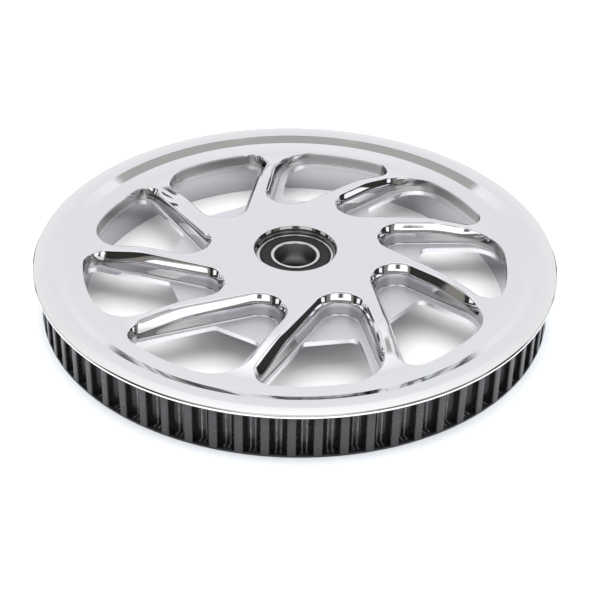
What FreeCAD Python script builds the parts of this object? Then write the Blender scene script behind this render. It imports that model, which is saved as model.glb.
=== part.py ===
"""Rear belt pulley of a motorcycle, lying on its open side with its face up.

One STEP file per sub-part, in millimetres. The pulley's axis is Z, the surface that it lies on is
z = 0, and the face with the nine swept windows looks along +Z. The hub carries a sealed deep-groove
ball bearing, which turns on the axle. The back of the web drives the wheel through five lugs.
"""
import FreeCAD, Part
import math
import os

VEC = FreeCAD.Vector
ORIGIN = VEC(0, 0, 0)
UP = VEC(0, 0, 1)

# Toothed rim: teeth, pitch, the belt's pitch-line height over the tips, and the groove's shape.
TEETH = 68
PITCH = 14.0
PITCH_LINE = 1.397
GROOVE_DEPTH = 6.1
GROOVE_RADIUS = 4.5
LAND_WIDTH = 3.2
TIP_RADIUS = TEETH * PITCH / (2 * math.pi) - PITCH_LINE
RING_INNER = 138.5
RING_HEIGHT = 29.0
LIP_HEIGHT = 1.3
LIP_CHAMFER = 0.3

# Levels above the surface that the pulley lies on.
FLANGE_TOP = 31.4
FACE_TOP = 33.0
VALLEY = 27.1
RIM_FOOT = 28.7
WEB_BACK = 16.5
POCKET_FLOOR = 19.8
BOSS_BACK = 1.5
LUG_BACK = 1.5

# Radii of the body.
FLANGE_RADIUS = 153.7
FLANGE_FLAT = 147.5
FLANGE_DROP = 0.5
RIDGE = 141.15
CONE_FOOT = 135.0
VALLEY_RADIUS = 124.0
FACE_FLAT = 84.0
BARREL_INNER = 124.9
BOSS_RADIUS = 28.0
LIP_RADIUS = 20.5
MOUTH_CHAMFER = 0.8
EDGE_CHAMFER = 0.8

# Windows: three circles and the barrel bound each one, in a frame whose X axis is radial. The inner
# circle is (x, y, radius), and the two outer ones are centres, because they touch the barrel.
WINDOWS = 9
INNER_END = (64.8, 14.9, 17.2)
UPPER_END = (97.5, 6.2)
LOWER_END = (108.8, -28.1)
POCKET_RIM = BARREL_INNER - 0.1
SIDE_POINTS = 9

# Wall of a window: arcs (start and end degrees, radius) from the face down, and its inset at the floor.
# The cut starts above the face, at an inset and a drop that carry the first arc on.
WALL_ARCS = ((0, 48, 2.2), (48, 68, 13.0), (68, 84, 4.0))
ARC_STEPS = 2
WALL_START = (-2.0, -0.6)
WALL_FOOT = 5.0

# Slot through a window's floor: where it starts, its inner corners, and the ledges beside it.
SLOT_START = 75.2
SLOT_TOP_CORNER = 6.0
SLOT_LOW_CORNER = 1.5
TOP_LEDGE = 4.2
LOW_LEDGE = 0.8

# Drive lugs on the back of the web.
LUGS = 5
LUG_SPAN = (26.0, 49.0)
LUG_WIDTH = 13.0
LUG_CORNER = 3.9

# How far a cut runs past the solid that it cuts.
OVERRUN = 1.0

# Bearing: 25 mm bore, 47 mm outside, 12 mm wide.
BEARING_FACE = 28.6
BEARING_WIDTH = 12.0
BEARING_MID = BEARING_FACE - BEARING_WIDTH / 2
BORE_RADIUS = 12.5
BEARING_RADIUS = 23.5
BALLS = 10
BALL_RADIUS = 3.3
BALL_CIRCLE = 18.0
RACE_RADIUS = 3.36
INNER_NECK = 14.5
INNER_SHOULDER = 15.6
OUTER_SHOULDER = 20.4
SEAL_SEAT = 21.1
SEAL_DEPTH = 1.9
RING_EDGE = 0.6

# Seals, cage and snap ring.
SEAL_INNER = 14.6
SEAL_RECESS = 0.25
SEAL_THICKNESS = 1.15
INSERT_SPAN = (15.9, 20.6)
INSERT_THICKNESS = 0.4
CAGE_SPAN = (16.7, 19.3)
CAGE_FLAT = 0.7
POCKET_RADIUS = 3.38
POCKET_WALL = 3.95
RIVET_RADIUS = 0.45
RIVET_HEAD = (0.85, 0.35)
WIRE_RADIUS = 0.9
WIRE_CIRCLE = 23.35
WIRE_LEVEL = BEARING_FACE + WIRE_RADIUS + 0.05
GROOVE_PLAY = 0.05
WIRE_GAP = 14.0


def export(shape, node):
    """Write one sub-part."""
    shape.exportStep("parts/%s.step" % node)


def revolved(points):
    """Solid of revolution about Z from (radius, z) corners."""
    wire = Part.makePolygon([VEC(r, 0, z) for r, z in points + points[:1]])
    return Part.Face(wire).revolve(ORIGIN, UP, 360)


def tube(inner, outer, low, high):
    """Plain ring between two radii and two levels."""
    return revolved([(inner, low), (outer, low), (outer, high), (inner, high)])


def turned(shape, degrees):
    """Copy of a shape turned about the axis."""
    copy = shape.copy()
    copy.rotate(ORIGIN, UP, degrees)
    return copy


def around(shape, count):
    """Equal copies of a shape around the axis."""
    return [turned(shape, 360.0 * i / count) for i in range(count)]


def stands_on(edge, corner):
    """Whether both ends of an edge lie over one point."""
    return all(math.hypot(v.X - corner[0], v.Y - corner[1]) < 1e-6 for v in edge.Vertexes)


def polar(radius, degrees, z=0.0):
    """Point at a radius and an angle."""
    return VEC(radius * math.cos(math.radians(degrees)), radius * math.sin(math.radians(degrees)), z)


# --- windows ---------------------------------------------------------------------------------------

def tangent_points(a, b, side):
    """Ends of the outer tangent of circles a and b, each (x, y, radius), on one side of a to b."""
    dx, dy = b[0] - a[0], b[1] - a[1]
    distance = math.hypot(dx, dy)
    angle = math.atan2(dy, dx) + side * math.acos((a[2] - b[2]) / distance)
    step = (math.cos(angle), math.sin(angle))
    return [(c[0] + c[2] * step[0], c[1] + c[2] * step[1]) for c in (a, b)]


def arc(circle, start, end):
    """Counter-clockwise points on a circle from start to end."""
    first = math.atan2(start[1] - circle[1], start[0] - circle[0])
    last = math.atan2(end[1] - circle[1], end[0] - circle[0])
    if last < first:
        last += 2 * math.pi
    angles = [first + (last - first) * i / (SIDE_POINTS - 1) for i in range(SIDE_POINTS)]
    return [(circle[0] + circle[2] * math.cos(t), circle[1] + circle[2] * math.sin(t)) for t in angles]


def line(start, end):
    """Points on a straight side from start to end."""
    shares = [i / (SIDE_POINTS - 1) for i in range(SIDE_POINTS)]
    return [(start[0] + (end[0] - start[0]) * t, start[1] + (end[1] - start[1]) * t) for t in shares]


def flat_wire(sides, z):
    """Closed wire of true lines and arcs at one level."""
    edges = []
    for side in sides:
        first, middle, last = [VEC(x, y, z) for x, y in (side[0], side[len(side) // 2], side[-1])]
        if (middle - first).cross(last - first).Length < 1e-6:
            edges.append(Part.makeLine(first, last))
        else:
            edges.append(Part.Arc(first, middle, last).toShape())
    return Part.Wire(edges)


def draped_wire(sides, level):
    """Closed wire through the points of each side, at the level that a function gives for a point."""
    edges = []
    for side in sides:
        curve = Part.BSplineCurve()
        curve.interpolate([VEC(x, y, level(x, y)) for x, y in side])
        edges.append(curve.toShape())
    return Part.Wire(edges)


def end_circle(centre, inset, rim):
    """Outer end circle: an inset shrinks it and moves it outwards, so that it still meets the rim."""
    away = math.hypot(centre[0], centre[1])
    reach = (away + inset) / away
    return (centre[0] * reach, centre[1] * reach, rim - away - inset)


def window_side(centre, inset, side, rim):
    """Tangent from the inner end's circle to an outer end's circle, and where that meets the rim."""
    inner = (INNER_END[0], INNER_END[1], INNER_END[2] - inset)
    outer = end_circle(centre, inset, rim)
    start, end = tangent_points(inner, outer, side)
    meeting = polar(rim, math.degrees(math.atan2(centre[1], centre[0])))
    return inner, outer, start, end, meeting


def pocket_sides(inset):
    """Outline of a pocket as six runs of points: two straight sides and four arcs."""
    inner, upper, top_in, top_out, rim_high = window_side(UPPER_END, inset, 1, POCKET_RIM)
    _, lower, low_in, low_out, rim_low = window_side(LOWER_END, inset, -1, POCKET_RIM)
    return [
        line(low_in, low_out),
        arc(lower, low_out, rim_low),
        arc((0.0, 0.0, POCKET_RIM), rim_low, rim_high),
        arc(upper, rim_high, top_out),
        line(top_out, top_in),
        arc(inner, top_in, low_in),
    ]


def face_level(x, y):
    """Level of the dished face over a point."""
    radius = math.hypot(x, y)
    share = min(max((radius - FACE_FLAT) / (VALLEY_RADIUS - FACE_FLAT), 0.0), 1.0)
    rise = max(radius - VALLEY_RADIUS, 0.0) * (RIM_FOOT - VALLEY) / (CONE_FOOT - VALLEY_RADIUS)
    return FACE_TOP - (FACE_TOP - VALLEY) * share * share * (3 - 2 * share) + rise


def wall_steps():
    """Insets and drops down a window's wall, at the steps of its arcs."""
    inset, drop = 0.0, 0.0
    steps = [WALL_START]
    for first, last, radius in WALL_ARCS:
        for i in range(ARC_STEPS):
            a, b = [math.radians(first + (last - first) * k / ARC_STEPS) for k in (i, i + 1)]
            inset += radius * (math.sin(b) - math.sin(a))
            drop += radius * (math.cos(a) - math.cos(b))
            steps.append((inset, drop))
    return steps


def pocket():
    """Cut from above the face down to the pocket's floor, with a rounded edge and a broad slope."""
    wires = [flat_wire(pocket_sides(WALL_START[0]), FACE_TOP + 2 * OVERRUN)]
    for inset, drop in wall_steps():
        wires.append(draped_wire(pocket_sides(inset), lambda x, y: face_level(x, y) - drop))
    wires.append(flat_wire(pocket_sides(WALL_FOOT), POCKET_FLOOR))
    return Part.makeLoft(wires, True, True)


def at_slot_start(start, end):
    """Point where a window's straight side crosses the slot's inner edge."""
    share = (SLOT_START - start[0]) / (end[0] - start[0])
    return (SLOT_START, start[1] + share * (end[1] - start[1]))


def slot():
    """Cut right through the pocket's floor, leaving a shelf at the inner end and a ledge on one side."""
    _, upper, top_in, top_out, rim_high = window_side(UPPER_END, WALL_FOOT + TOP_LEDGE, 1, BARREL_INNER)
    _, lower, low_in, low_out, rim_low = window_side(LOWER_END, WALL_FOOT + LOW_LEDGE, -1, BARREL_INNER)
    top_start = at_slot_start(top_in, top_out)
    low_start = at_slot_start(low_in, low_out)
    low, high = -OVERRUN, POCKET_FLOOR + OVERRUN
    sides = [
        line(low_start, low_out),
        arc(lower, low_out, rim_low),
        arc((0.0, 0.0, BARREL_INNER), rim_low, rim_high),
        arc(upper, rim_high, top_out),
        line(top_out, top_start),
        line(top_start, low_start),
    ]
    block = Part.Face(flat_wire(sides, low)).extrude(VEC(0, 0, high - low))
    for radius, corner in ((SLOT_TOP_CORNER, top_start), (SLOT_LOW_CORNER, low_start)):
        upright = [e for e in block.Edges if stands_on(e, corner)]
        block = block.makeFillet(radius, upright)
    return block


# --- body and toothed ring -------------------------------------------------------------------------

def body_blank():
    """The body before its windows are cut: hub, dished web, barrel and flange."""
    seat = BEARING_FACE - BEARING_WIDTH
    lip = FLANGE_TOP - RING_HEIGHT
    points = [
        (VALLEY_RADIUS, VALLEY), (CONE_FOOT, RIM_FOOT), (RIDGE, FLANGE_TOP), (FLANGE_FLAT, FLANGE_TOP),
        (FLANGE_RADIUS - FLANGE_DROP, FLANGE_TOP - FLANGE_DROP),
        (FLANGE_RADIUS, FLANGE_TOP - 2 * FLANGE_DROP), (FLANGE_RADIUS, FLANGE_TOP - lip),
        (RING_INNER, RING_HEIGHT), (RING_INNER, EDGE_CHAMFER), (RING_INNER - EDGE_CHAMFER, 0),
        (BARREL_INNER + EDGE_CHAMFER, 0), (BARREL_INNER, EDGE_CHAMFER), (BARREL_INNER, WEB_BACK),
        (BOSS_RADIUS, WEB_BACK), (BOSS_RADIUS, BOSS_BACK), (LIP_RADIUS, BOSS_BACK), (LIP_RADIUS, seat),
        (BEARING_RADIUS, seat), (BEARING_RADIUS, FACE_TOP - MOUTH_CHAMFER),
        (BEARING_RADIUS + MOUTH_CHAMFER, FACE_TOP), (FACE_FLAT, FACE_TOP),
    ]
    edges = [Part.makeLine(VEC(a[0], 0, a[1]), VEC(b[0], 0, b[1])) for a, b in zip(points, points[1:])]
    reach = (VALLEY_RADIUS - FACE_FLAT) / 3
    dish = Part.BezierCurve()
    dish.setPoles([VEC(FACE_FLAT, 0, FACE_TOP), VEC(FACE_FLAT + reach, 0, FACE_TOP),
                   VEC(VALLEY_RADIUS - reach, 0, VALLEY), VEC(VALLEY_RADIUS, 0, VALLEY)])
    edges.append(dish.toShape())
    return Part.Face(Part.Wire(Part.__sortEdges__(edges))).revolve(ORIGIN, UP, 360)


def snap_groove():
    """Half-round groove in the hub's bore that holds the snap ring."""
    return Part.makeTorus(WIRE_CIRCLE, WIRE_RADIUS + GROOVE_PLAY, VEC(0, 0, WIRE_LEVEL))


def lug():
    """One drive lug, with its outer end rounded off."""
    low, high = LUG_SPAN
    height = WEB_BACK - LUG_BACK
    block = Part.makeBox(high - low, LUG_WIDTH, height, VEC(low, -LUG_WIDTH / 2, LUG_BACK))
    corners = [(high, -LUG_WIDTH / 2), (high, LUG_WIDTH / 2)]
    return block.makeFillet(LUG_CORNER, [e for e in block.Edges if any(stands_on(e, c) for c in corners)])


def pulley_body():
    """The whole chromed body."""
    body = body_blank().cut(around(pocket(), WINDOWS)).cut(around(slot(), WINDOWS))
    body = body.fuse(around(lug(), LUGS))
    return body.cut(snap_groove()).removeSplitter()


def tooth_wire():
    """Outline of the toothed rim: a land, a tip radius, the groove's arc and a tip radius again."""
    step = 360.0 / TEETH
    half_mouth = (2 * math.pi * TIP_RADIUS / TEETH - LAND_WIDTH) / 2
    sink = GROOVE_DEPTH - GROOVE_RADIUS
    edge = (half_mouth ** 2 + sink ** 2 - GROOVE_RADIUS ** 2) / (2 * (GROOVE_RADIUS + sink))
    centre = TIP_RADIUS - sink
    side = math.degrees(half_mouth / TIP_RADIUS)
    edges = []
    for i in range(TEETH):
        angle = step * (i + 0.5)
        groove = polar(centre, angle)
        corners = [polar(TIP_RADIUS - edge, angle + s * side) for s in (-1, 1)]
        joints = [groove + (c - groove) * (GROOVE_RADIUS / (GROOVE_RADIUS + edge)) for c in corners]
        tips = [polar(TIP_RADIUS, angle + s * side) for s in (-1, 1)]
        bends = [c + ((t - c).normalize() + (j - c).normalize()).normalize() * edge
                 for c, t, j in zip(corners, tips, joints)]
        bottom = polar(centre - GROOVE_RADIUS, angle)
        edges.append(Part.Arc(tips[0], bends[0], joints[0]).toShape())
        edges.append(Part.Arc(joints[0], bottom, joints[1]).toShape())
        edges.append(Part.Arc(joints[1], bends[1], tips[1]).toShape())
        land = [polar(TIP_RADIUS, angle + step / 2), polar(TIP_RADIUS, angle + step - side)]
        edges.append(Part.Arc(tips[1], land[0], land[1]).toShape())
    return Part.Wire(edges)


def toothed_ring():
    """Toothed ring on the barrel, closed at its foot by a thin lip that is as wide as the teeth."""
    teeth = Part.Face(tooth_wire()).extrude(VEC(0, 0, RING_HEIGHT))
    lip = revolved([(RING_INNER, 0), (TIP_RADIUS - LIP_CHAMFER, 0), (TIP_RADIUS, LIP_CHAMFER),
                    (TIP_RADIUS, LIP_HEIGHT), (RING_INNER, LIP_HEIGHT)])
    bore = Part.makeCylinder(RING_INNER, RING_HEIGHT)
    above = Part.makeBox(4 * TIP_RADIUS, 4 * TIP_RADIUS, RING_HEIGHT,
                         VEC(-2 * TIP_RADIUS, -2 * TIP_RADIUS, LIP_HEIGHT))
    return teeth.common(above).fuse(lip).cut(bore).removeSplitter()


# --- bearing ---------------------------------------------------------------------------------------

def race_groove():
    """The path that the balls take, as a torus."""
    return Part.makeTorus(BALL_CIRCLE, RACE_RADIUS, VEC(0, 0, BEARING_MID))


def bearing_inner_ring():
    """Inner ring, which turns on the axle."""
    low, high = BEARING_FACE - BEARING_WIDTH, BEARING_FACE
    e = RING_EDGE
    profile = [
        (BORE_RADIUS + e, low), (INNER_NECK, low), (INNER_NECK, low + SEAL_DEPTH),
        (INNER_SHOULDER, low + SEAL_DEPTH), (INNER_SHOULDER, high - SEAL_DEPTH),
        (INNER_NECK, high - SEAL_DEPTH), (INNER_NECK, high), (BORE_RADIUS + e, high),
        (BORE_RADIUS, high - e), (BORE_RADIUS, low + e),
    ]
    return revolved(profile).cut(race_groove())


def bearing_outer_ring():
    """Outer ring, pressed into the hub."""
    low, high = BEARING_FACE - BEARING_WIDTH, BEARING_FACE
    e = RING_EDGE
    profile = [
        (SEAL_SEAT, low), (BEARING_RADIUS - e, low), (BEARING_RADIUS, low + e),
        (BEARING_RADIUS, high - e), (BEARING_RADIUS - e, high), (SEAL_SEAT, high),
        (SEAL_SEAT, high - SEAL_DEPTH), (OUTER_SHOULDER, high - SEAL_DEPTH),
        (OUTER_SHOULDER, low + SEAL_DEPTH), (SEAL_SEAT, low + SEAL_DEPTH),
    ]
    return revolved(profile).cut(race_groove())


def ball():
    """The ball on the X axis."""
    return Part.makeSphere(BALL_RADIUS, VEC(BALL_CIRCLE, 0, BEARING_MID))


def mirrored(shape):
    """Copy of a shape on the other side of the bearing's middle plane."""
    return shape.mirror(VEC(0, 0, BEARING_MID), UP)


def rivet_seat():
    """Axis point of a rivet, midway between two balls."""
    return polar(BALL_CIRCLE, 180.0 / BALLS, BEARING_MID)


def cage_half():
    """Pressed ribbon: flats that meet the other half, and a domed pocket over each ball."""
    low, high = CAGE_SPAN
    flats = tube(low, high, BEARING_MID, BEARING_MID + CAGE_FLAT)
    band = tube(low, high, BEARING_MID, BEARING_MID + POCKET_WALL + OVERRUN)
    centre = VEC(BALL_CIRCLE, 0, BEARING_MID)
    domes = around(Part.makeSphere(POCKET_WALL, centre).common(band), BALLS)
    holes = around(Part.makeSphere(POCKET_RADIUS, centre), BALLS)
    bore = Part.makeCylinder(RIVET_RADIUS, 2 * CAGE_FLAT, rivet_seat() - VEC(0, 0, CAGE_FLAT))
    return flats.fuse(domes).cut(holes).cut(around(bore, BALLS)).removeSplitter()


def rivet():
    """One cage rivet with a head at each end."""
    seat = rivet_seat()
    head_radius, head_height = RIVET_HEAD
    shank = Part.makeCylinder(RIVET_RADIUS, 2 * CAGE_FLAT, seat - VEC(0, 0, CAGE_FLAT))
    top = Part.makeCylinder(head_radius, head_height, seat + VEC(0, 0, CAGE_FLAT))
    bottom = Part.makeCylinder(head_radius, head_height, seat - VEC(0, 0, CAGE_FLAT + head_height))
    return shank.fuse([top, bottom]).removeSplitter()


def front_seal():
    """Rubber face of the front seal, with a bead round its lip."""
    high = BEARING_FACE - SEAL_RECESS
    low = high - SEAL_THICKNESS
    step = SEAL_THICKNESS / 3
    profile = [
        (SEAL_INNER, low), (SEAL_SEAT, low), (SEAL_SEAT, high - step), (SEAL_SEAT - step, high),
        (SEAL_INNER + 4 * step, high), (SEAL_INNER + 3 * step, high - step),
        (SEAL_INNER + 2 * step, high - step), (SEAL_INNER + step, high), (SEAL_INNER, high),
    ]
    return revolved(profile)


def front_seal_insert():
    """Steel washer that the rubber is bonded to."""
    high = BEARING_FACE - SEAL_RECESS - SEAL_THICKNESS
    return tube(INSERT_SPAN[0], INSERT_SPAN[1], high - INSERT_THICKNESS, high)


def snap_ring():
    """Round-wire ring in the hub's groove, open at one side."""
    ring = Part.makeTorus(WIRE_CIRCLE, WIRE_RADIUS, VEC(0, 0, WIRE_LEVEL))
    gap = Part.makeBox(4 * WIRE_RADIUS, WIRE_GAP, 4 * WIRE_RADIUS,
                       VEC(-2 * WIRE_RADIUS, -WIRE_GAP / 2, -2 * WIRE_RADIUS))
    gap.translate(VEC(-WIRE_CIRCLE, 0, WIRE_LEVEL))
    return ring.cut(gap)


def main():
    os.makedirs("parts", exist_ok=True)
    half = cage_half()
    export(pulley_body(), "pulley_body")
    export(toothed_ring(), "toothed_ring")
    export(snap_ring(), "snap_ring")
    export(bearing_outer_ring(), "bearing_outer_ring")
    export(bearing_inner_ring(), "bearing_inner_ring")
    export(half, "cage_front")
    export(mirrored(half), "cage_back")
    export(Part.makeCompound(around(rivet(), BALLS)), "cage_rivets")
    export(front_seal(), "front_seal")
    export(mirrored(front_seal()), "back_seal")
    export(front_seal_insert(), "front_seal_insert")
    export(mirrored(front_seal_insert()), "back_seal_insert")
    for i, sphere in enumerate(around(ball(), BALLS)):
        export(sphere, "ball_%02d" % (i + 1))


main()
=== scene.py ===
"""Looks of the rear belt pulley: chrome body, black teeth, sealed bearing, studio light and camera."""
import math
import bpy
from mathutils import Matrix, Vector
from mathutils.geometry import delaunay_2d_cdt

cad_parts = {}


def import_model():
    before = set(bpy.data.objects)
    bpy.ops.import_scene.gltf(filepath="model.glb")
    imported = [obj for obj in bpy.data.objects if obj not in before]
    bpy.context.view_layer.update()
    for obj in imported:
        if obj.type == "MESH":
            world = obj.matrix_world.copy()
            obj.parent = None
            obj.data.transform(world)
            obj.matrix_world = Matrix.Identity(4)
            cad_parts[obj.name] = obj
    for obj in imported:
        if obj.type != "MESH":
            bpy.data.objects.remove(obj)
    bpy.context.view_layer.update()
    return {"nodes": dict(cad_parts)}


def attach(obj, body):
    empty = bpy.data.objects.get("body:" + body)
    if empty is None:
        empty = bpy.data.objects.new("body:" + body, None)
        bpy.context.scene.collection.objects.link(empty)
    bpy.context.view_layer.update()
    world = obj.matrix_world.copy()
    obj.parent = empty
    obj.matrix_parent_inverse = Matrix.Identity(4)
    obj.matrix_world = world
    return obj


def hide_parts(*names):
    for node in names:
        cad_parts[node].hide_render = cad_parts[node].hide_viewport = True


MM = 0.001

# Body, in millimetres above the floor and from the axis.
FACE_TOP = 33.0
FACE_FLAT = 84.0
VALLEY = 27.1
VALLEY_RADIUS = 124.0
RIM_FOOT = (135.0, 28.7)
RIDGE = (141.15, 31.4)
FLANGE_FLAT = 147.6
FLANGE_RADIUS = 153.7
FLANGE_BACK = 29.0
BARREL_INNER = 124.9
RING_INNER = 138.5
WEB_BACK = 16.5
POCKET_FLOOR = 19.8
HUB_MOUTH = 25.3
FACE_GAP = 0.6
FACE_EDGE = 134.0
RIM_SEGMENTS = 360
HUB_SEGMENTS = 144
LIP_BORE = 20.5
BOSS_RADIUS = 28.0
BOSS_BACK = 1.5
LUGS = 5
LUG_SPAN = (26.0, 49.0)
LUG_WIDTH = 13.0
LUG_BACK = 1.5
LUG_CORNER = 3.9
LUG_BEVEL = 0.7

# Windows.
WINDOWS = 9
INNER_END = (64.8, 14.9, 17.2)
UPPER_END = (97.5, 6.2)
LOWER_END = (108.8, -28.1)
SLOT_START = 75.2
SLOT_CORNERS = (6.0, 1.5)
LEDGE = 3.4
WALL_ARCS = ((0.0, 48.0, 2.2), (48.0, 68.0, 13.0), (68.0, 84.0, 4.0))
FOOT_RADIUS = 1.2
FOOT_SHARE = 0.22
WALL_FOOT = 5.8

# Toothed rim.
TEETH = 68
TIP_RADIUS = 150.12
GROOVE_DEPTH = 6.1
GROOVE_RADIUS = 4.5
LAND_WIDTH = 3.2
RING_HEIGHT = 29.0
LIP_HEIGHT = 1.3
LIP_EDGE = 0.998

# Bearing.
BEARING_FACE = 28.6
BEARING_WIDTH = 12.0
BORE = 12.5
BEARING_RADIUS = 23.5
BEARING_MIDDLE = BEARING_FACE - BEARING_WIDTH / 2
BEARING_BACK = BEARING_FACE - BEARING_WIDTH
INNER_LAND = 14.5
OUTER_LAND = 21.1
SEAL_SEAT = 1.9
BALL_CIRCLE = 18.0
RACE_RADIUS = 3.36

# Snap ring.
SNAP_RADIUS = 23.35
SNAP_HEIGHT = 29.55
SNAP_WIRE = 0.88
SNAP_NOSE = 0.9
SNAP_GAP = 7.4
SNAP_STEPS = 120

# Camera: where it looks, how far away it is, its angles and its lens.
TARGET = (0.28, -46.53, 31.4)
DISTANCE = 843.1
ELEVATION = 34.67
ROLL = 1.14
LENS = 91.03


# --- mesh helpers ----------------------------------------------------------------------------------

def polar(radius, degrees):
    return (radius * math.cos(math.radians(degrees)), radius * math.sin(math.radians(degrees)))


class Shell:
    """Vertices and faces of one mesh, in millimetres."""

    def __init__(self):
        self.verts = []
        self.faces = []

    def add(self, verts, faces):
        base = len(self.verts)
        self.verts.extend(verts)
        self.faces.extend(tuple(base + i for i in face) for face in faces)

    def loft(self, rows):
        """Quads between matched closed rows of points."""
        count = len(rows[0])
        verts = [point for row in rows for point in row]
        faces = []
        for r in range(len(rows) - 1):
            a, b = r * count, (r + 1) * count
            for i in range(count):
                j = (i + 1) % count
                faces.append((a + i, a + j, b + j, b + i))
        self.add(verts, faces)

    def lathe(self, profile, segments):
        """Quads round Z from a list of (radius, z) points."""
        rows = []
        for radius, z in profile:
            ring = [polar(radius, 360.0 * i / segments) for i in range(segments)]
            rows.append([(x, y, z) for x, y in ring])
        self.loft(rows)

    def build(self, name, material, sharp=32.0):
        """Object in metres, smooth except where faces meet at more than the sharp angle."""
        mesh = bpy.data.meshes.new(name)
        mesh.from_pydata([Vector(v) * MM for v in self.verts], [], self.faces)
        mesh.polygons.foreach_set("use_smooth", [True] * len(self.faces))
        mesh.materials.append(material)
        mesh.validate()
        mesh.set_sharp_from_angle(angle=math.radians(sharp))
        piece = bpy.data.objects.new(name, mesh)
        bpy.context.scene.collection.objects.link(piece)
        return piece


def rounded(points, steps=5):
    """Profile whose corners (radius, z, fillet) are rounded; a corner without a fillet stays sharp."""
    out = []
    last = len(points) - 1
    for i, point in enumerate(points):
        fillet = point[2] if len(point) > 2 else 0.0
        if fillet == 0.0 or i in (0, last):
            out.append((point[0], point[1]))
            continue
        here = Vector(point[:2])
        to_a = (Vector(points[i - 1][:2]) - here).normalized()
        to_b = (Vector(points[i + 1][:2]) - here).normalized()
        half = to_a.angle(to_b) / 2
        centre = here + (to_a + to_b).normalized() * (fillet / math.sin(half))
        start = (here + to_a * (fillet / math.tan(half)) - centre).normalized()
        end = (here + to_b * (fillet / math.tan(half)) - centre).normalized()
        for k in range(steps + 1):
            on_arc = centre + start.slerp(end, k / steps) * fillet
            out.append((on_arc.x, on_arc.y))
    return out


def arc_points(circle, start, end, count):
    """Counter-clockwise points on a circle, from start to just before end."""
    first = math.atan2(start[1] - circle[1], start[0] - circle[0])
    last = math.atan2(end[1] - circle[1], end[0] - circle[0])
    if last < first:
        last += 2 * math.pi
    points = []
    for i in range(count):
        angle = first + (last - first) * i / count
        points.append((circle[0] + circle[2] * math.cos(angle), circle[1] + circle[2] * math.sin(angle)))
    return points


def line_points(start, end, count):
    """Points on a line, from start to just before end."""
    return [(start[0] + (end[0] - start[0]) * i / count, start[1] + (end[1] - start[1]) * i / count)
            for i in range(count)]


def turn(points, degrees):
    c, s = math.cos(math.radians(degrees)), math.sin(math.radians(degrees))
    return [(c * p[0] - s * p[1], s * p[0] + c * p[1]) + tuple(p[2:]) for p in points]


# --- windows ---------------------------------------------------------------------------------------

def end_circle(centre, inset):
    """Outer end circle: an inset shrinks it and moves it outwards, so that it still meets the barrel."""
    away = math.hypot(centre[0], centre[1])
    reach = (away + inset) / away
    return (centre[0] * reach, centre[1] * reach, BARREL_INNER - away - inset)


def tangent(a, b, side):
    """Ends of the outer tangent of two circles, on one side of the way from a to b."""
    dx, dy = b[0] - a[0], b[1] - a[1]
    angle = math.atan2(dy, dx) + side * math.acos((a[2] - b[2]) / math.hypot(dx, dy))
    return [(c[0] + c[2] * math.cos(angle), c[1] + c[2] * math.sin(angle)) for c in (a, b)]


def window_side(centre, inset, side):
    """One straight side: both circles, its two ends, and where the outer circle meets the rim."""
    inner = (INNER_END[0], INNER_END[1], INNER_END[2] - inset)
    outer = end_circle(centre, inset)
    start, end = tangent(inner, outer, side)
    return inner, outer, start, end, polar(BARREL_INNER, math.degrees(math.atan2(centre[1], centre[0])))


def window_outline(inset):
    """Points round a window, the same count for every inset."""
    inner, upper, top_in, top_out, rim_high = window_side(UPPER_END, inset, 1)
    _, lower, low_in, low_out, rim_low = window_side(LOWER_END, inset, -1)
    return (line_points(low_in, low_out, 20) + arc_points(lower, low_out, rim_low, 24)
            + arc_points((0, 0, BARREL_INNER), rim_low, rim_high, 20)
            + arc_points(upper, rim_high, top_out, 34) + line_points(top_out, top_in, 14)
            + arc_points(inner, top_in, low_in, 40))


def slot_outline():
    """Points round the cut through the pocket's floor, with its two inner corners rounded."""
    _, upper, top_in, top_out, rim_high = window_side(UPPER_END, WALL_FOOT + LEDGE, 1)
    _, lower, low_in, low_out, rim_low = window_side(LOWER_END, WALL_FOOT, -1)
    corners = []
    for start, end in ((top_in, top_out), (low_in, low_out)):
        share = (SLOT_START - start[0]) / (end[0] - start[0])
        corners.append((SLOT_START, start[1] + share * (end[1] - start[1])))
    blunt = [corner + (fillet,) for corner, fillet in zip(corners, SLOT_CORNERS)]
    edge = rounded([top_out] + blunt + [low_out], 8)
    return (line_points(edge[-2], low_out, 20) + arc_points(lower, low_out, rim_low, 24)
            + arc_points((0, 0, BARREL_INNER), rim_low, rim_high, 20)
            + arc_points(upper, rim_high, top_out, 34) + line_points(top_out, edge[1], 14) + edge[1:-2])


# --- body ------------------------------------------------------------------------------------------

def face_height(radius):
    """Level of the dished face: flat at the hub, eased down to the valley, then up to the rim."""
    share = min(max((radius - FACE_FLAT) / (VALLEY_RADIUS - FACE_FLAT), 0.0), 1.0)
    dish = FACE_TOP - (FACE_TOP - VALLEY) * share * share * (3 - 2 * share)
    slope = (RIM_FOOT[1] - VALLEY) / (RIM_FOOT[0] - VALLEY_RADIUS)
    rise = VALLEY + slope * (radius - VALLEY_RADIUS)
    blend = 0.25
    return blend * math.log(math.exp((dish - VALLEY) / blend) + math.exp((rise - VALLEY) / blend)) + VALLEY


def on_face(point):
    return (point[0], point[1], face_height(math.hypot(point[0], point[1])))


def flat_region(outer, holes, extra):
    """Triangles of the plane region inside one outline and outside the holes, with extra points."""
    points = []
    edges = []
    for loop in [outer] + holes:
        base = len(points)
        points.extend(loop)
        edges.extend((base + i, base + (i + 1) % len(loop)) for i in range(len(loop)))
    points.extend(extra)
    verts, _, faces, _, _, _ = delaunay_2d_cdt([Vector(p) for p in points], edges, [], 0, 1e-5)
    kept = []
    for face in faces:
        x = sum(verts[i].x for i in face) / 3
        y = sum(verts[i].y for i in face) / 3
        if inside(x, y, outer) and not any(inside(x, y, hole) for hole in holes):
            kept.append(tuple(face))
    return [(v.x, v.y) for v in verts], kept


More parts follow.
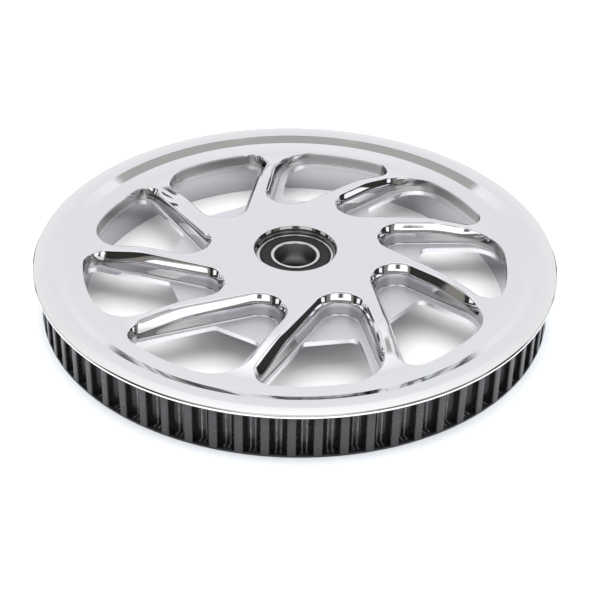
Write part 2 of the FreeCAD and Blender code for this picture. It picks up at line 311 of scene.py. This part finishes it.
def inside(x, y, loop):
    """Even-odd test of a point against a closed outline."""
    hit = False
    ax, ay = loop[-1]
    for bx, by in loop:
        if (ay > y) != (by > y) and x < (bx - ax) * (y - ay) / (by - ay) + ax:
            hit = not hit
        ax, ay = bx, by
    return hit


def clear_of(point, loops, gap):
    return all((point[0] - q[0]) ** 2 + (point[1] - q[1]) ** 2 > gap * gap for loop in loops for q in loop)


def sector_points(low, high, step):
    """Points on rings between two radii, over one window's share of the circle."""
    span = 360.0 / WINDOWS
    points = []
    rings = int((high - low) / step)
    for i in range(1, rings):
        radius = low + (high - low) * i / rings
        count = max(int(math.radians(span) * radius / step), 4)
        points.extend(polar(radius, span * (k + 0.5 * (i % 2)) / count) for k in range(count))
    return points


def pierced_disc(low, high, hole, step):
    """Triangulated ring between two radii with one hole outline repeated for every window."""
    span = 360.0 / WINDOWS
    near = [turn(hole, span * k) for k in range(-1, 3)]
    seeds = [p for p in sector_points(low, high, step)
             if clear_of(p, near, step * 0.55) and not any(inside(p[0], p[1], loop) for loop in near)]
    extra = []
    holes = []
    for k in range(WINDOWS):
        extra.extend(turn(seeds, span * k))
        holes.append(turn(hole, span * k))
    inner = [polar(low, 360.0 * i / HUB_SEGMENTS) for i in range(HUB_SEGMENTS)]
    outer = [polar(high, 360.0 * i / RIM_SEGMENTS) for i in range(RIM_SEGMENTS)]
    return flat_region(outer, holes + [inner], extra)


def wall_profile():
    """Pocket wall as (inset, drop, share of the way to the floor): tight edge, broad slope, wall, foot."""
    rows = [(0.0, 0.0, 0.0)]
    inset = drop = 0.0
    for low, high, radius in WALL_ARCS:
        for i in range(8):
            a, b = (math.radians(low + (high - low) * k / 8) for k in (i, i + 1))
            inset += radius * (math.sin(b) - math.sin(a))
            drop += radius * (math.cos(a) - math.cos(b))
            rows.append((inset, drop, 0.0))
    lean = WALL_FOOT - FOOT_RADIUS - inset
    start = 1.0 - FOOT_SHARE
    for share in (0.2, 0.4, 0.6):
        rows.append((inset + lean * share / start, drop, share))
    for i in range(8):
        angle = math.radians(90.0 * i / 7)
        reach = WALL_FOOT - FOOT_RADIUS * math.cos(angle)
        rows.append((reach, drop, start + FOOT_SHARE * math.sin(angle)))
    return rows


def pocket_rows():
    """Matched outlines down a pocket wall, from the face to the floor."""
    rows = []
    for inset, drop, share in wall_profile():
        row = []
        for x, y in window_outline(inset):
            top = face_height(math.hypot(x, y)) - drop
            row.append((x, y, top + (POCKET_FLOOR - top) * share))
        rows.append(row)
    return rows


def add_windows(shell):
    """Pocket walls, shelves and the edges of the cuts through them."""
    rows = pocket_rows()
    foot = [(x, y) for x, y, _ in rows[-1]]
    cut = slot_outline()
    verts, faces = flat_region(foot, [cut], [])
    shelf = [(x, y, POCKET_FLOOR) for x, y in verts]
    edge = [[(x, y, z) for x, y in cut] for z in (POCKET_FLOOR, WEB_BACK)]
    for k in range(WINDOWS):
        degrees = 360.0 * k / WINDOWS
        shell.loft([turn(row, degrees) for row in rows])
        shell.add(turn(shelf, degrees), faces)
        shell.loft([turn(row, degrees) for row in edge])


def rim_profile():
    """From the face's outer edge over the flange, down the barrel and round to the web's back."""
    return rounded([
        (FACE_EDGE, face_height(FACE_EDGE)), RIM_FOOT + (1.2,), RIDGE + (0.9,), (FLANGE_FLAT, 31.4, 9.0),
        (152.9, 30.75, 0.5), (FLANGE_RADIUS, 30.2, 0.4), (FLANGE_RADIUS, FLANGE_BACK, 0.2),
        (RING_INNER, FLANGE_BACK), (RING_INNER, 0.0, 0.8), (BARREL_INNER, 0.0, 0.8),
        (BARREL_INNER, WEB_BACK),
    ])


def hub_profile():
    """From the face into the hub: mouth, snap-ring groove, bearing seat, lip, boss and web."""
    depth = 0.85
    groove = [(23.45 + depth * math.sin(a), SNAP_HEIGHT + depth * math.cos(a))
              for a in [math.radians(20 + 14 * i) for i in range(11)]]
    entry = BEARING_RADIUS + 0.1
    mouth = rounded([(HUB_MOUTH + FACE_GAP, FACE_TOP), (24.5, FACE_TOP, 0.45), (entry, 31.6, 0.4),
                     (entry, 30.6)], 4)
    seat = BEARING_RADIUS + 0.02
    rest = rounded([(seat, 28.0), (seat, BEARING_BACK), (LIP_BORE, BEARING_BACK),
                    (LIP_BORE, BOSS_BACK, 0.5), (BOSS_RADIUS, BOSS_BACK, 0.8), (BOSS_RADIUS, WEB_BACK)], 4)
    return mouth + groove + rest


def add_lugs(shell):
    """Rounded blocks that stand on the back of the web."""
    low, high = LUG_SPAN
    half = LUG_WIDTH / 2
    outlines = []
    for inset in (0.0, LUG_BEVEL):
        side, end, corner = half - inset, high - inset, LUG_CORNER - inset
        outlines.append(rounded([(low, -side), (end, -side, corner), (end, side, corner), (low, side)], 6))
    plan, foot = outlines
    rows = [[(x, y, WEB_BACK) for x, y in plan], [(x, y, LUG_BACK + LUG_BEVEL) for x, y in plan],
            [(x, y, LUG_BACK) for x, y in foot]]
    for k in range(LUGS):
        degrees = 360.0 * k / LUGS
        shell.loft([turn(row, degrees) for row in rows])
        shell.add(turn(rows[-1], degrees), [tuple(range(len(foot)))])


def set_face_normals(mesh, count):
    """Exact normals on the dished face, whose faces come first, so that chrome reflects cleanly."""
    normals = [Vector(n.vector) for n in mesh.corner_normals]
    for face in mesh.polygons[:count]:
        for loop in face.loop_indices:
            point = mesh.vertices[mesh.loops[loop].vertex_index].co / MM
            radius = math.hypot(point.x, point.y)
            slope = (face_height(radius + 0.05) - face_height(radius - 0.05)) / 0.1
            normals[loop] = Vector((-slope * point.x / radius, -slope * point.y / radius, 1)).normalized()
    mesh.normals_split_custom_set(normals)


def make_body(chrome):
    shell = Shell()
    verts, faces = pierced_disc(HUB_MOUTH + FACE_GAP, FACE_EDGE, window_outline(0.0), 3.2)
    shell.add([on_face(v) for v in verts], faces)
    top_faces = len(faces)
    add_windows(shell)
    shell.lathe(rim_profile(), RIM_SEGMENTS)
    shell.lathe(hub_profile(), HUB_SEGMENTS)
    verts, faces = pierced_disc(BOSS_RADIUS, BARREL_INNER - 0.02, shrunk(slot_outline()), 9.0)
    shell.add([(x, y, WEB_BACK) for x, y in verts], [face[::-1] for face in faces])
    add_lugs(shell)
    body = shell.build("chrome_body", chrome)
    set_face_normals(body.data, top_faces)
    return body


def shrunk(loop):
    """Outline kept just inside the barrel, so that a hole never touches the disc's edge."""
    out = []
    for x, y in loop:
        keep = min(1.0, (BARREL_INNER - 0.12) / math.hypot(x, y))
        out.append((x * keep, y * keep))
    return out


# --- teeth -----------------------------------------------------------------------------------------

def tooth_outline():
    """Points round the toothed rim: half-round grooves with rounded tips between narrow lands."""
    half_mouth = (2 * math.pi * TIP_RADIUS / TEETH - LAND_WIDTH) / 2
    sink = GROOVE_DEPTH - GROOVE_RADIUS
    tip = (half_mouth ** 2 + sink ** 2 - GROOVE_RADIUS ** 2) / (2 * (GROOVE_RADIUS + sink))
    side = half_mouth / TIP_RADIUS
    centre = TIP_RADIUS - sink
    corner = polar(TIP_RADIUS - tip, -math.degrees(side))
    lean = math.atan2(corner[1], corner[0] - centre)
    shoulder = []
    for i in range(7):
        angle = -side + (lean + math.pi + side) * i / 6
        shoulder.append((corner[0] + tip * math.cos(angle), corner[1] + tip * math.sin(angle)))
    hollow = []
    for i in range(1, 20):
        angle = lean - (2 * math.pi + 2 * lean) * i / 20
        hollow.append((centre + GROOVE_RADIUS * math.cos(angle), GROOVE_RADIUS * math.sin(angle)))
    land = [polar(TIP_RADIUS, 180.0 / TEETH - 0.25), polar(TIP_RADIUS, 180.0 / TEETH + 0.25)]
    groove = shoulder + hollow + [(x, -y) for x, y in reversed(shoulder)] + land
    points = []
    for k in range(TEETH):
        points.extend(turn(groove, 360.0 * (k + 0.5) / TEETH))
    return points


def make_teeth(black):
    """Toothed ring, closed at its foot by a thin lip that is as wide as the teeth."""
    shell = Shell()
    outline = tooth_outline()
    lip = [polar(TIP_RADIUS, math.degrees(math.atan2(y, x))) for x, y in outline]
    bore = [polar(RING_INNER, math.degrees(math.atan2(y, x))) for x, y in outline]
    rows = [[(x, y, FLANGE_BACK) for x, y in bore], [(x, y, RING_HEIGHT) for x, y in outline]]
    rows += [[(x, y, z) for x, y in outline] for z in (20.0, 10.0, LIP_HEIGHT)]
    rows += [[(x, y, z) for x, y in lip] for z in (LIP_HEIGHT, 0.3)]
    rows += [[(x * LIP_EDGE, y * LIP_EDGE, 0.0) for x, y in lip], [(x, y, 0.0) for x, y in bore]]
    shell.loft([row[::-1] for row in rows])
    return shell.build("black_tooth_ring", black, 40.0)


# --- bearing ---------------------------------------------------------------------------------------

def make_lathed(name, profile, material):
    shell = Shell()
    shell.lathe(profile, HUB_SEGMENTS)
    return shell.build(name, material)


def race(side):
    """Groove for the balls in a bearing ring, as profile points from the front to the back."""
    points = []
    for i in range(9):
        angle = math.radians(-44 + 11 * i)
        points.append((BALL_CIRCLE + side * RACE_RADIUS * math.cos(angle),
                       BEARING_MIDDLE - RACE_RADIUS * math.sin(angle)))
    return points


def outer_ring_profile():
    low, high = BEARING_BACK, BEARING_FACE
    shelf = OUTER_LAND - 0.7
    edge = rounded([(shelf, high - SEAL_SEAT), (OUTER_LAND, high - SEAL_SEAT), (OUTER_LAND, high, 0.35),
                    (BEARING_RADIUS, high, 0.6), (BEARING_RADIUS, low, 0.6), (OUTER_LAND, low, 0.35),
                    (OUTER_LAND, low + SEAL_SEAT), (shelf, low + SEAL_SEAT)], 4)
    loop = edge + race(1)[::-1]
    return loop + loop[:1]


def inner_ring_profile():
    low, high = BEARING_BACK, BEARING_FACE
    shelf = INNER_LAND + 1.1
    edge = rounded([(shelf, low + SEAL_SEAT), (INNER_LAND, low + SEAL_SEAT), (INNER_LAND, low, 0.25),
                    (BORE, low, 0.7), (BORE, high, 0.7), (INNER_LAND, high, 0.25),
                    (INNER_LAND, high - SEAL_SEAT), (shelf, high - SEAL_SEAT)], 4)
    loop = edge + race(-1)
    return loop + loop[:1]


def seal_profile(flip):
    """Rubber seal with a raised bead at its lip and a step at its seat."""
    top = BEARING_FACE - 0.25
    base = top - 1.15
    lip = INNER_LAND + 0.1
    points = rounded([(lip, base), (lip, top - 0.1, 0.08), (15.1, top, 0.15), (15.6, top - 0.35, 0.2),
                      (16.1, top - 0.35, 0.15), (16.5, top, 0.2), (19.9, top, 0.25), (20.4, top - 0.4, 0.2),
                      (OUTER_LAND, top - 0.4), (OUTER_LAND, base), (lip, base)], 3)
    if flip:
        points = [(r, 2 * BEARING_MIDDLE - z) for r, z in reversed(points)]
    return points


def make_snap_ring(steel):
    """Round wire in the hub's groove, with rounded ends and a gap at the back."""
    shell = Shell()
    rows = []
    gap = math.degrees(SNAP_GAP / SNAP_RADIUS)
    step = (360.0 - 2 * gap) / SNAP_STEPS
    for k in range(SNAP_STEPS + 1):
        from_end = min(k, SNAP_STEPS - k) * math.radians(step) * SNAP_RADIUS
        wire = SNAP_WIRE * math.sqrt(max(1 - max(0.0, 1 - from_end / SNAP_NOSE) ** 2, 0.02))
        row = []
        for i in range(16):
            angle = 2 * math.pi * i / 16
            x, y = polar(SNAP_RADIUS + wire * math.cos(angle), 180.0 + gap + step * k)
            row.append((x, y, SNAP_HEIGHT + wire * math.sin(angle)))
        rows.append(row)
    shell.loft(rows)
    shell.add(rows[0], [tuple(range(16))[::-1]])
    shell.add(rows[-1], [tuple(range(16))])
    return shell.build("snap_ring_wire", steel)


def make_bearing(paints):
    """All the bearing's visible pieces, each attached to the body it turns with and standing for its CAD
    node.
    """
    pieces = (
        ("outer_ring", outer_ring_profile(), "steel", "pulley", "bearing_outer_ring", "bearing_steel"),
        ("inner_ring", inner_ring_profile(), "steel", "inner_ring", "bearing_inner_ring", "bearing_steel"),
        ("seal_front", seal_profile(False), "rubber", "pulley", "front_seal", "seal_rubber"),
        ("seal_back", seal_profile(True), "rubber", "pulley", "back_seal", "seal_rubber"),
    )
    for name, profile, paint, body, node, slot in pieces:
        piece = make_lathed(name, profile, paints[paint])
        settle(piece, body, node)


def settle(piece, body, node):
    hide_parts(node)
    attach(piece, body)


# --- materials -------------------------------------------------------------------------------------

def math_node(tree, operation, a, b=0.0):
    """Output of a math node whose inputs are numbers or other outputs."""
    node = tree.nodes.new("ShaderNodeMath")
    node.operation = operation
    for socket, value in zip(node.inputs, (a, b)):
        if isinstance(value, (int, float)):
            socket.default_value = value
        else:
            tree.links.new(value, socket)
    return node.outputs[0]


class Paint:
    """A node material around one Principled shader."""

    def __init__(self, name, color, metallic, roughness):
        self.material = bpy.data.materials.new(name)
        self.material.use_nodes = True
        self.nodes = self.material.node_tree.nodes
        self.links = self.material.node_tree.links
        self.shader = self.nodes["Principled BSDF"]
        self.shader.inputs["Base Color"].default_value = (*color, 1)
        self.shader.inputs["Metallic"].default_value = metallic
        self.shader.inputs["Roughness"].default_value = roughness
        self.place = self.nodes.new("ShaderNodeTexCoord").outputs["Object"]

    def noise(self, scale, detail=4.0, vector=None):
        node = self.nodes.new("ShaderNodeTexNoise")
        node.inputs["Scale"].default_value = scale
        node.inputs["Detail"].default_value = detail
        self.links.new(vector or self.place, node.inputs["Vector"])
        return node.outputs["Fac"]

    def ramp(self, source, stops):
        """Grey or colour by a value, from stops whose last one is the end of the ramp."""
        span = stops[-1][0]
        node = self.nodes.new("ShaderNodeValToRGB")
        fill_ramp(node, [(place / span, value) for place, value in stops])
        self.links.new(self.math("DIVIDE", source, span), node.inputs["Fac"])
        return node.outputs["Color"]

    def part(self, axis):
        """One coordinate of the place, in metres."""
        split = self.nodes.new("ShaderNodeSeparateXYZ")
        self.links.new(self.place, split.inputs[0])
        return split.outputs[axis]

    def height(self):
        """Height above the floor, in millimetres."""
        return self.math("MULTIPLY", self.part("Z"), 1000.0)

    def across(self):
        """Distance from the axis, in millimetres."""
        return self.math("MULTIPLY", self.radius(), 1000.0)

    def radius(self):
        """Distance from the axis, in metres."""
        flat = self.nodes.new("ShaderNodeCombineXYZ")
        for axis in ("X", "Y"):
            self.links.new(self.part(axis), flat.inputs[axis])
        length = self.nodes.new("ShaderNodeVectorMath")
        length.operation = "LENGTH"
        self.links.new(flat.outputs[0], length.inputs[0])
        return length.outputs["Value"]

    def math(self, operation, a, b=0.0):
        return math_node(self.material.node_tree, operation, a, b)

    def spread(self, source, low, high):
        node = self.nodes.new("ShaderNodeMapRange")
        node.inputs["To Min"].default_value = low
        node.inputs["To Max"].default_value = high
        self.links.new(source, node.inputs["Value"])
        return node.outputs["Result"]

    def product(self, a, b):
        """Two colours multiplied."""
        node = self.nodes.new("ShaderNodeVectorMath")
        node.operation = "MULTIPLY"
        self.links.new(a, node.inputs[0])
        self.links.new(b, node.inputs[1])
        return node.outputs["Vector"]

    def set(self, socket, source):
        self.links.new(source, self.shader.inputs[socket])

    def bump(self, source, strength, distance):
        node = self.nodes.new("ShaderNodeBump")
        node.inputs["Strength"].default_value = strength
        node.inputs["Distance"].default_value = distance
        self.links.new(source, node.inputs["Height"])
        self.links.new(node.outputs["Normal"], self.shader.inputs["Normal"])


def opaque(value):
    """Grey or colour as four channels."""
    return (*value, 1) if isinstance(value, tuple) else (value, value, value, 1)


def fill_ramp(node, stops):
    """Colour stops (position, grey or colour) on a ramp."""
    elements = node.color_ramp.elements
    while len(elements) < len(stops):
        elements.new(0.5)
    for element, (position, value) in zip(elements, stops):
        element.position = position
        element.color = opaque(value)


def chrome_paint():
    """Polished chrome, satin on the window shelves, with painted light in its colour: a painted highlight on
    the flange, painted shade on the pocket walls and inside the barrel.
    """
    paint = Paint("polished_chrome", (0.86, 0.87, 0.89), 1.0, 0.05)
    across, height = paint.across(), paint.height()
    # edge: darker grey on the flange's outer lip, a painted reflection.
    edge = (0.72, 0.72, 0.73)
    # Painted shade for the pocket walls.
    painted_wall_shade = (0.60, 0.59, 0.57)
    # Tone by radius: dark in the hub's recess, a bluish face, a painted highlight that brightens the flange,
    # and the darker painted reflection on its lip.
    tone_with_painted_light = paint.ramp(across, (
        (0.0, 0.40), (24.5, 0.40), (24.8, (0.838, 0.848, 0.890)), (143.3, (0.852, 0.860, 0.895)),
        (150.8, (0.893, 0.898, 0.915)), (152.8, (0.91, 0.915, 0.92)), (153.2, edge), (160.0, edge)))
    # Painted shade: the chrome is darkened inside the barrel, below the face's level (above).
    painted_barrel_shade = paint.ramp(across, (
        (0.0, 1.0), (121.7, 1.0), (123.3, 0.55), (138.3, 0.55), (140.0, 1.0), (160.0, 1.0)))
    above = paint.ramp(height, ((0.0, 0.0), (24.8, 0.0), (27.0, 1.0), (40.0, 1.0)))
    # By height: painted shade darkens the pocket walls, and a painted highlight brightens the shelves.
    shade = paint.ramp(height, (
        (0.0, 1.0), (19.1, 1.0), (19.4, 1.10), (20.0, 1.10), (20.5, painted_wall_shade), (24.8, painted_wall_shade), (27.0, 1.0),
        (40.0, 1.0)))
    color = paint.product(paint.product(tone_with_painted_light, shade), paint.math("MAXIMUM", painted_barrel_shade, above))
    paint.set("Base Color", color)
    shelf = paint.ramp(height, (
        (0.0, 0.0), (19.1, 0.0), (19.4, 0.60), (20.0, 0.60), (20.3, 0.0), (40.0, 0.0)))
    haze = paint.spread(paint.noise(38.0, 5.0), 0.03, 0.10)
    paint.set("Roughness", paint.math("MAXIMUM", haze, shelf))
    paint.bump(paint.noise(900.0, 3.0), 0.02, 0.0004)
    return paint.material


def teeth_paint():
    """Gloss black coat with lighter lands and two lighter lines in each groove, both fading into painted
    shade under the flange.
    """
    paint = Paint("black_tooth_coat", (0.02, 0.02, 0.022), 0.0, 0.25)
    across, height = paint.across(), paint.height()
    turns = paint.math("ARCTAN2", paint.part("Y"), paint.part("X"))
    teeth = paint.math("MULTIPLY", turns, TEETH / (2 * math.pi))
    from_land = paint.math("ABSOLUTE", paint.math("SUBTRACT", paint.math("FRACT", teeth), 0.5))
    marks = paint.noise(260.0, 3.0)
    offset = paint.math("ABSOLUTE", paint.math("SUBTRACT", from_land, 0.094))
    line = paint.ramp(offset, ((0.0, 1.0), (0.018, 0.75), (0.042, 0.0)))
    # Painted shade: the lighter lands and lines fade out towards the flange's overhang, with a thin darker
    # band near the foot.
    low = paint.ramp(height, (
        (0.0, 0.0), (1.45, 0.9), (3.8, 1.0), (4.1, 0.45), (4.5, 1.0), (20.3, 0.8), (26.1, 0.0)))
    deep = paint.ramp(across, ((0.0, 1.0), (147.3, 1.0), (148.7, 0.0), (160.0, 0.0)))
    shine = paint.math("MULTIPLY", paint.math("MULTIPLY", line, low), paint.math("MULTIPLY", deep, marks))
    land = paint.ramp(across, ((0.0, 0.0), (149.7, 0.0), (150.07, 0.030), (160.0, 0.030)))
    tone_with_painted_light = paint.math("ADD", paint.math("MULTIPLY", shine, 0.40), paint.math("MULTIPLY", land, low))
    coat = paint.nodes.new("ShaderNodeCombineColor")
    for channel, floor in (("Red", 0.0125), ("Green", 0.012), ("Blue", 0.013)):
        paint.links.new(paint.math("ADD", tone_with_painted_light, floor), coat.inputs[channel])
    paint.set("Base Color", coat.outputs["Color"])
    paint.set("Roughness", paint.spread(paint.noise(160.0, 6.0), 0.16, 0.34))
    paint.bump(paint.noise(700.0, 4.0), 0.05, 0.0003)
    return paint.material


def steel_paint(name, color, rough):
    """Ground steel with fine rings left by the wheel."""
    paint = Paint(name, color, 1.0, rough)
    lanes = paint.nodes.new("ShaderNodeCombineXYZ")
    paint.links.new(paint.radius(), lanes.inputs["X"])
    rings = paint.noise(9000.0, 3.0, lanes.outputs[0])
    paint.set("Roughness", paint.spread(rings, rough * 0.7, rough * 1.4))
    paint.bump(rings, 0.06, 0.0001)
    tangent = paint.nodes.new("ShaderNodeTangent")
    tangent.direction_type = "RADIAL"
    tangent.axis = "Z"
    paint.links.new(tangent.outputs["Tangent"], paint.shader.inputs["Tangent"])
    paint.shader.inputs["Anisotropic"].default_value = 0.9
    paint.shader.inputs["Anisotropic Rotation"].default_value = 0.25
    return paint.material


def rubber_paint():
    paint = Paint("seal_rubber", (0.010, 0.010, 0.011), 0.0, 0.5)
    paint.set("Roughness", paint.spread(paint.noise(600.0, 4.0), 0.38, 0.62))
    paint.bump(paint.noise(2600.0, 3.0), 0.15, 0.0002)
    paint.shader.inputs["Specular IOR Level"].default_value = 0.25
    return paint.material


def make_paints():
    return {
        "chrome": chrome_paint(),
        "black": teeth_paint(),
        "steel": steel_paint("ground_bearing_steel", (0.74, 0.74, 0.74), 0.22),
        "wire": steel_paint("spring_wire_steel", (0.20, 0.20, 0.21), 0.28),
        "strip": steel_paint("pressed_cage_steel", (0.60, 0.60, 0.60), 0.34),
        "ball": steel_paint("polished_ball_steel", (0.80, 0.80, 0.82), 0.08),
        "rubber": rubber_paint(),
    }


def paint_nodes(frame, paints):
    """Materials for the CAD nodes that stay: balls, cage, rivets and seal washers."""
    for name, node in frame["nodes"].items():
        kind = "ball" if name.startswith("ball_") else "strip"
        if node.hide_render:
            continue
        node.data.materials.clear()
        node.data.materials.append(paints[kind])


# --- studio ----------------------------------------------------------------------------------------

def make_floor():
    """Pale floor, large enough for the chrome's reflections, and greyer in the pulley's own shade."""
    bpy.ops.mesh.primitive_grid_add(x_subdivisions=8, y_subdivisions=8, size=14.0)
    floor = bpy.context.object
    floor.name = "floor"
    paint = Paint("pale_floor", (0.90, 0.93, 0.97), 0.0, 0.9)
    paint.set("Base Color", paint.ramp(paint.across(), (
        (0.0, 0.60), (6.0, 0.60), (12.0, 0.07), (22.0, 0.08), (32.0, 0.55), (70.0, 0.70), (122.0, 0.74),
        (132.0, (0.89, 0.925, 0.965)), (200.0, (0.905, 0.935, 0.97)))))
    paint.shader.inputs["Specular IOR Level"].default_value = 0.0
    floor.data.materials.append(paint.material)


class Sky:
    """World shader made of a ramp by height and rectangular patches, in degrees."""

    def __init__(self, name):
        world = bpy.data.worlds.new(name)
        bpy.context.scene.world = world
        world.use_nodes = True
        self.tree = world.node_tree
        self.nodes, self.links = self.tree.nodes, self.tree.links
        split = self.nodes.new("ShaderNodeSeparateXYZ")
        self.links.new(self.nodes.new("ShaderNodeTexCoord").outputs["Generated"], split.inputs[0])
        degrees = 180.0 / math.pi
        self.height = self.math("MULTIPLY", self.math("ARCSINE", split.outputs["Z"]), degrees)
        behind = self.math("MULTIPLY", split.outputs["Y"], -1.0)
        self.bearing = self.math("MULTIPLY", self.math("ARCTAN2", split.outputs["X"], behind), degrees)
        self.color = None

    def math(self, operation, a, b=0.0):
        return math_node(self.tree, operation, a, b)

    def ramp(self, stops):
        """Grey or colour by elevation, from stops of (degrees, value)."""
        node = self.nodes.new("ShaderNodeValToRGB")
        fill_ramp(node, [((degrees + 90.0) / 180.0, value) for degrees, value in stops])
        self.links.new(self.math("DIVIDE", self.math("ADD", self.height, 90.0), 180.0), node.inputs["Fac"])
        self.color = node.outputs["Color"]

    def between(self, source, low, high, soft):
        """One inside a span, with soft ends."""
        rise = self.math("DIVIDE", self.math("SUBTRACT", source, low), soft)
        fall = self.math("DIVIDE", self.math("SUBTRACT", high, source), soft)
        inside_span = self.math("MINIMUM", self.math("MINIMUM", rise, fall), 1.0)
        return self.math("MAXIMUM", inside_span, 0.0)

    def patch(self, bearings, heights, value, soft=1.0):
        """Lay a rectangle over the sky; bearing 0 is the camera's side, and 90 is the right."""
        share = self.math("MULTIPLY", self.between(self.bearing, *bearings, soft),
                          self.between(self.height, *heights, soft))
        mix = self.nodes.new("ShaderNodeMix")
        mix.data_type = "RGBA"
        self.links.new(share, mix.inputs["Factor"])
        self.links.new(self.color, mix.inputs["A"])
        mix.inputs["B"].default_value = opaque(value)
        self.color = mix.outputs["Result"]

    def finish(self):
        self.links.new(self.color, self.nodes["Background"].inputs["Color"])


WARM = (0.44, 0.425, 0.40)
BROWN = (0.25, 0.235, 0.21)
DARK = (0.035, 0.032, 0.03)


def make_sky():
    """Studio that the chrome mirrors: white walls, grey ceiling, and a dim room with soft boxes."""
    sky = Sky("studio")
    sky.ramp((
        (-90, 0.8), (-1, 0.8), (0, DARK), (3, DARK), (5, 0.92), (25, 0.88), (40, 0.86), (50, 1.0), (56, 1.1),
        (68, 1.3), (72, 1.3), (73, WARM), (80, WARM), (81, 0.54), (83.5, 0.54), (84.5, WARM), (90, WARM)))
    sky.patch((-100, 100), (-2, 70), BROWN, 4.0)
    sky.patch((-100, -55), (2, 60), DARK, 3.0)
    sky.patch((62, 116), (4, 45), DARK, 3.0)
    for side in (-1, 1):
        sky.patch((80 * side - 8, 80 * side + 8), (12, 34), 1.1)
        sky.patch(sorted((139 * side, 160 * side)), (50, 77), WARM)
        sky.patch(sorted((158 * side, 181 * side)), (70, 77), WARM)
    sky.patch((-46, 46), (18, 60), 1.35)
    sky.patch((-12, 12), (28, 56), (0.08, 0.075, 0.07), 2.0)
    sky.patch((-9, -6), (32, 50), 0.8)
    sky.patch((4, 7), (36, 46), 0.6)
    for bearing in range(104, 170, 12):
        for side in (-1, 1):
            sky.patch(sorted((bearing * side, (bearing + 5) * side)), (-1, 16), DARK)
    sky.finish()


def add_lamp(name, place, size, power):
    """Soft rectangular lamp aimed at the pulley; the chrome mirrors the studio, not the lamps."""
    lamp = bpy.data.lights.new(name, "AREA")
    lamp.shape = "RECTANGLE"
    lamp.size, lamp.size_y = size
    lamp.energy = power
    holder = bpy.data.objects.new(name, lamp)
    bpy.context.scene.collection.objects.link(holder)
    holder.location = place
    aim = Vector((0, 0, 0.02)) - Vector(place)
    holder.rotation_euler = aim.to_track_quat("-Z", "Y").to_euler()
    holder.visible_glossy = False


def make_lamps():
    add_lamp("roof_lamp", (0.0, 0.25, 1.6), (2.4, 2.0), 40.0)
    add_lamp("left_lamp", (-1.5, -0.2, 1.0), (1.4, 1.2), 14.0)
    add_lamp("right_lamp", (1.5, -0.2, 1.0), (1.4, 1.2), 14.0)


def make_camera():
    """Camera at the picture's height, tilt and slight roll."""
    lens = bpy.data.cameras.new("camera")
    lens.lens = LENS
    lens.sensor_width = 36.0
    lens.sensor_fit = "HORIZONTAL"
    camera = bpy.data.objects.new("camera", lens)
    bpy.context.scene.collection.objects.link(camera)
    tilt, roll = math.radians(ELEVATION), math.radians(ROLL)
    right = Vector((1, 0, 0))
    up = Vector((0, math.sin(tilt), math.cos(tilt)))
    ahead = Vector((0, math.cos(tilt), -math.sin(tilt)))
    rolled_right = math.cos(roll) * right + math.sin(roll) * up
    rolled_up = -math.sin(roll) * right + math.cos(roll) * up
    turned = Matrix((rolled_right, rolled_up, -ahead)).transposed().to_4x4()
    turned.translation = (Vector(TARGET) - DISTANCE * ahead) * MM
    camera.matrix_world = turned
    bpy.context.scene.camera = camera


def main():
    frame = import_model()
    paints = make_paints()
    settle(make_body(paints["chrome"]), "pulley", "pulley_body")
    settle(make_teeth(paints["black"]), "pulley", "toothed_ring")
    settle(make_snap_ring(paints["wire"]), "pulley", "snap_ring")
    make_bearing(paints)
    paint_nodes(frame, paints)
    make_floor()
    make_sky()
    make_lamps()
    make_camera()
    scene = bpy.context.scene
    scene.view_settings.view_transform = "Standard"


main()
